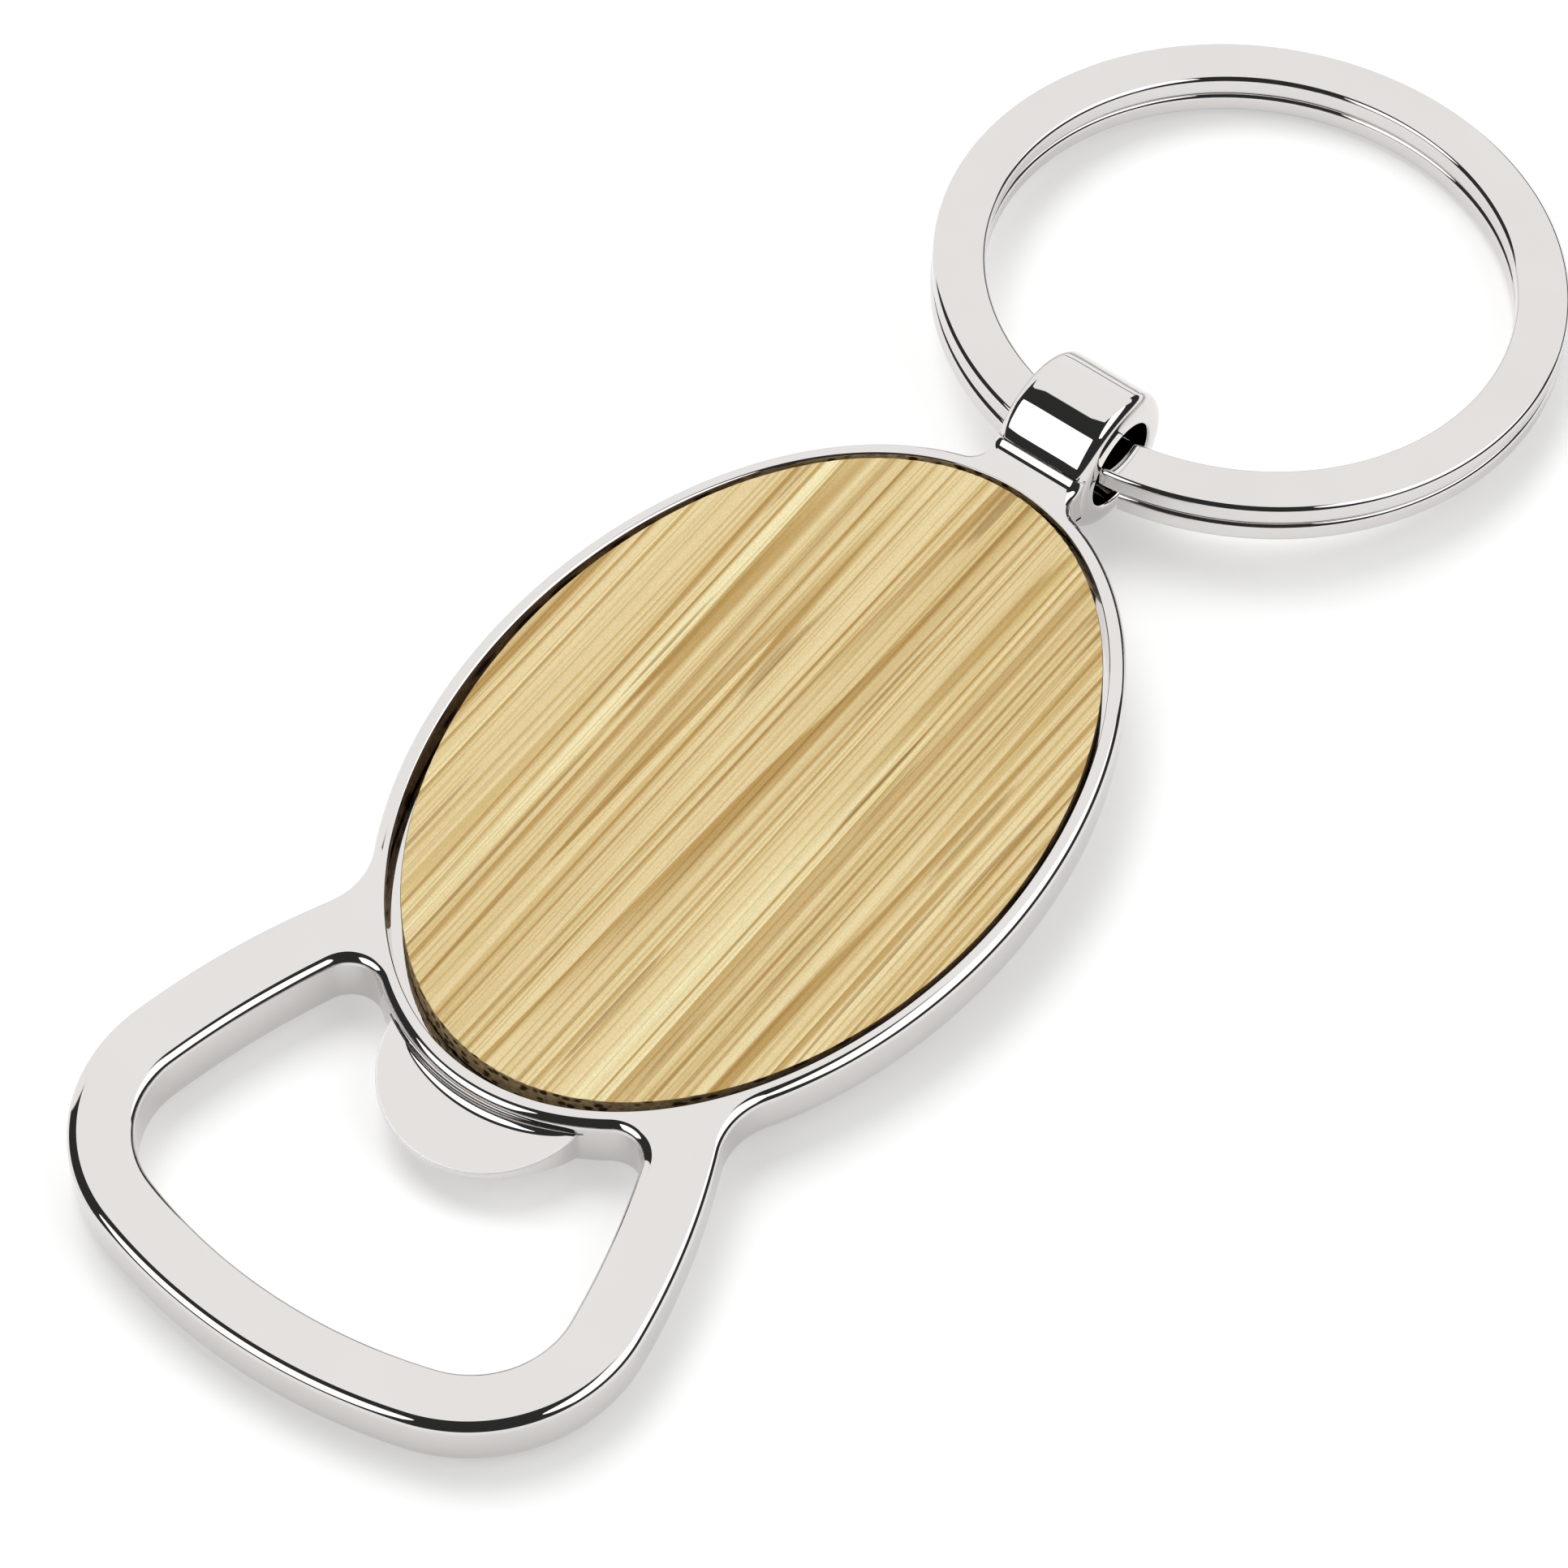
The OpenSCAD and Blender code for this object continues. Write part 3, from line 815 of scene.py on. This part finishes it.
def film_material():
    """Pale adhesive, a little uneven in colour and gloss."""
    material, nodes, shader = new_material("glue_film")
    noise = nodes.noise(nodes.place(), 900.0, 2.0)
    colour = nodes.ramp(noise, [(0.3, (0.62, 0.60, 0.55)), (0.7, (0.78, 0.77, 0.73))])
    nodes.link(colour, shader.inputs["Base Color"])
    rough = nodes.ramp(noise, [(0.3, (0.3, 0.3, 0.3)), (0.7, (0.5, 0.5, 0.5))])
    nodes.link(rough, shader.inputs["Roughness"])
    return material


def floor_material():
    """A matt pale table that glows a little, as a lit backdrop does."""
    material, nodes, shader = new_material("table")
    noise = nodes.noise(nodes.place(), 60.0, 2.0)
    colour = nodes.ramp(noise, [(0.3, (FLOOR_WHITE - 0.01,) * 3), (0.7, (FLOOR_WHITE + 0.01,) * 3)])
    nodes.link(colour, shader.inputs["Base Color"])
    shader.inputs["Emission Color"].default_value = (1.0, 0.995, 0.985, 1)
    shader.inputs["Emission Strength"].default_value = FLOOR_GLOW
    shader.inputs["Roughness"].default_value = 0.9
    shader.inputs["Specular IOR Level"].default_value = 0.1
    return material


# ---------------------------------------------------------------- stage, light, camera

def make_floor():
    """A square table just under the eyelet and the end of the loop."""
    mesh = bpy.data.meshes.new("floor")
    corners = [(FLOOR_HALF * x, FLOOR_HALF * y) for x, y in ((-1, -1), (1, -1), (1, 1), (-1, 1))]
    mesh.from_pydata([(x, y, TABLE_SLOPE * (y + LOOP_END * MM)) for x, y in corners], [],
                     [(0, 1, 2, 3)])
    mesh.materials.append(floor_material())
    floor = bpy.data.objects.new("floor", mesh)
    bpy.context.scene.collection.objects.link(floor)
    floor.location.z = -FLOOR_GAP


CAMERA_AZIMUTH, CAMERA_ELEVATION, CAMERA_ROLL = -0.6551, 0.9654327, -0.0077779   # radians
CAMERA_RIGHT, CAMERA_UP, CAMERA_DISTANCE = -1.49887, 0.42658, 409.9157   # to the plate's middle
FOCAL_PIXELS, FRAME_PIXELS, SENSOR = 11264.95, 1932, 36.0   # focal length, frame and sensor width
VIEW_COS, VIEW_SIN = 0.79, 0.613               # level direction to the right of the first view
TOP_LIGHT, BOX_LIGHT, DARK_LIGHT = 1.12, 1.7, 0.035   # radiance of the studio's parts
BOX_CORNERS, BOX_SOFT, BORDER_SOFT = 4.0, 0.06, 0.01   # squareness, and softness of the edges
# Extents of the studio's parts, in the directions that make_world explains: two white boxes,
# and a grey panel overhead with its corner beyond the right box and its low part at the back
FRONT_LEAN, FRONT_X = (21, 72), (-0.65, 0.0)
RIGHT_ACROSS, RIGHT_NEAR = (0.32, 0.93), (-0.9, 0.55)
TOP_ACROSS, TOP_NEAR = (-0.32, 0.3), (-1.0, -0.29)
CORNER_ACROSS, CORNER_SLANT = (0.29, 0.9), (-2.0, 0.0)
BACK_ACROSS, BACK_NEAR = (-2.0, 0.4), (-2.0, -0.62)
SLANT = 0.6                                    # slope of the border between corner and right box
RIGHT_HEIGHT, PARTS_HEIGHT = 0.49, 0.29        # lowest part of the right box, and of the others
FLOOR_GLOW, FLOOR_WHITE = 0.38, 0.64
FLOOR_HALF, FLOOR_GAP = 1.5, 0.00002           # metres: half its size, the gap below the body
KEY_WATTS, KEY_SIZE, KEY_PLACE = 4.0, 0.5, (-0.35, 0.15, 0.75)


def make_camera():
    a, e = CAMERA_AZIMUTH, CAMERA_ELEVATION
    forward = Vector((math.sin(a) * math.cos(e), math.cos(a) * math.cos(e), -math.sin(e)))
    right = Vector((math.cos(a), -math.sin(a), 0))
    up = right.cross(forward)
    c, s = math.cos(CAMERA_ROLL), math.sin(CAMERA_ROLL)
    right, up = c * right + s * up, -s * right + c * up
    place = Vector((0, 0, PLATE_T)) - (CAMERA_RIGHT * right + CAMERA_UP * up
                                       + CAMERA_DISTANCE * forward)
    data = bpy.data.cameras.new("camera")
    data.sensor_width = SENSOR
    data.lens = SENSOR * FOCAL_PIXELS / FRAME_PIXELS
    data.clip_start, data.clip_end = 0.01, 10
    camera = bpy.data.objects.new("camera", data)
    bpy.context.scene.collection.objects.link(camera)
    axes = Matrix((right, up, -forward)).transposed()
    camera.matrix_world = Matrix.Translation(place * MM) @ axes.to_4x4()
    bpy.context.scene.camera = camera


def make_world():
    """A studio as seen by the plating: soft boxes with dark gaps, over a dark horizon."""
    world = bpy.data.worlds.new("studio")
    bpy.context.scene.world = world
    world.use_nodes = True
    nodes = Nodes(world.node_tree)
    place = nodes.add("ShaderNodeTexCoord").outputs["Generated"]
    axes = nodes.add("ShaderNodeSeparateXYZ")
    nodes.link(place, axes.inputs[0])
    x, y, z = axes.outputs
    out = nodes.add("ShaderNodeOutputWorld")
    background = nodes.add("ShaderNodeBackground", Strength=1.0)
    nodes.link(background.outputs[0], out.inputs[0])

    def times(a, b):
        return nodes.math("MULTIPLY", a, b)

    def larger(a, b):
        return nodes.math("MAXIMUM", a, b)

    def step(value, start, end):
        """0 before start and 1 after end, smooth between them; start may be the larger."""
        node = nodes.add("ShaderNodeMapRange", interpolation_type="SMOOTHSTEP")
        node.inputs["From Min"].default_value = start
        node.inputs["From Max"].default_value = end
        nodes.link(value, node.inputs["Value"])
        return node.outputs[0]

    def beyond(value, low, soft=BORDER_SOFT):
        return step(value, low - soft, low + soft)

    def between(value, low, high):
        return times(beyond(value, low), step(value, high + BORDER_SOFT, high - BORDER_SOFT))

    def box(first, first_range, second, second_range):
        """1 inside a light box with rounded corners, 0 outside."""
        total = None
        for value, (low, high) in ((first, first_range), (second, second_range)):
            value = times(nodes.math("SUBTRACT", value, (low + high) / 2), 2 / (high - low))
            value = nodes.math("POWER", nodes.math("ABSOLUTE", value), BOX_CORNERS)
            total = value if total is None else nodes.math("ADD", total, value)
        return beyond(times(total, -1.0), -1.0, BOX_SOFT)

    def level(a, b):
        return nodes.math("ADD", times(x, a), times(y, b))

    # across runs to the right of the first view and near comes towards it, both level;
    # lean is the angle from overhead towards -Y, in degrees, measured round the X axis
    across, near = level(VIEW_COS, VIEW_SIN), level(VIEW_SIN, -VIEW_COS)
    slant = nodes.math("ADD", near, times(across, SLANT))
    lean = times(nodes.math("ARCTAN2", times(y, -1.0), z), math.degrees(1))
    top = times(between(across, *TOP_ACROSS), between(near, *TOP_NEAR))
    top = larger(top, times(between(across, *CORNER_ACROSS), between(slant, *CORNER_SLANT)))
    front = box(lean, FRONT_LEAN, x, FRONT_X)
    right = box(across, RIGHT_ACROSS, near, RIGHT_NEAR)
    right = times(times(right, beyond(slant, 0.0)), beyond(z, RIGHT_HEIGHT))
    back = times(between(across, *BACK_ACROSS), between(near, *BACK_NEAR))
    back = times(back, beyond(z, 0.0))
    value = larger(times(top, TOP_LIGHT), times(front, BOX_LIGHT))
    value = times(larger(value, times(right, BOX_LIGHT)), beyond(z, PARTS_HEIGHT))
    value = larger(larger(value, times(back, TOP_LIGHT)), DARK_LIGHT)
    nodes.link(value, background.inputs["Color"])


def make_key_lamp():
    """A broad key from the upper left for the soft shadow to the right."""
    data = bpy.data.lights.new("key", "AREA")
    data.shape, data.size, data.size_y = "RECTANGLE", KEY_SIZE, KEY_SIZE
    data.energy = KEY_WATTS
    lamp = bpy.data.objects.new("key", data)
    bpy.context.scene.collection.objects.link(lamp)
    lamp.location = KEY_PLACE
    lamp.rotation_euler = (-lamp.location).to_track_quat("-Z", "Y").to_euler()
    lamp.visible_glossy = False


make_camera()
make_world()
make_key_lamp()
make_floor()

plating = chrome("body_plating", (0.70, 0.68, 0.665), 0.012)
# painted highlight: a bright matt material along the lip's rounded top edge draws its white edge
# line
edge_highlight = chrome("lip_edge_painted_highlight", (0.97, 0.96, 0.94), 0.5, metallic=0.25)
body = make_body(plating, edge_highlight)
ring = make_ring(chrome("ring_plating", (0.69, 0.67, 0.655), 0.02))
inlay = make_inlay(bamboo_top(), bamboo_side())
film = make_film(film_material())

for piece, rides_on, node, finish in (
        (body, "opener", "opener_body", "body_plating"),
        (inlay, "opener", "bamboo_inlay", "bamboo"),
        (film, "opener", "adhesive_film", "adhesive"),
        (ring, "ring", "split_ring", "ring_plating")):
    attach(piece, rides_on)
    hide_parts(node)

view = bpy.context.scene.view_settings
view.view_transform = "Standard"
